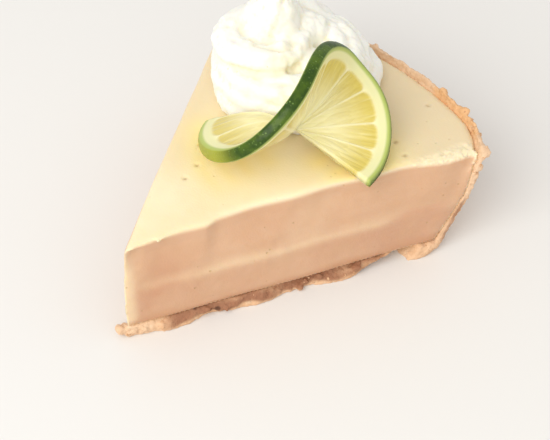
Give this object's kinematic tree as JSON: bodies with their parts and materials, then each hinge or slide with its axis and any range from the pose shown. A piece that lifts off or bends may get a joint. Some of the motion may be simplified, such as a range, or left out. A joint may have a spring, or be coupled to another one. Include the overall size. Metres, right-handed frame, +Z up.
{
  "type": "key lime pie slice",
  "caption": "Wedge of pie with a crumb crust, a smooth pale filling, a piped cream swirl and a twisted lime slice on top.",
  "frame": {"origin": "middle of the slice's bounding box at the crust's underside", "axes": "+Z up, +Y from the slice's tip to its rim along the line that halves the wedge, +X to the right when seen from the tip"},
  "size_m": [0.0989, 0.117, 0.0699],
  "materials": {
    "crumb_crust": "rough, crumbly",
    "filling": "smooth, soft sheen",
    "cream": "smooth, soft",
    "lime": "wet, slightly see-through"
  },
  "bodies": {
    "root": {"crust": "crumb_crust", "filling": "filling", "whipped_cream": "cream", "lime_twist": "lime"}
  },
  "joints": []
}
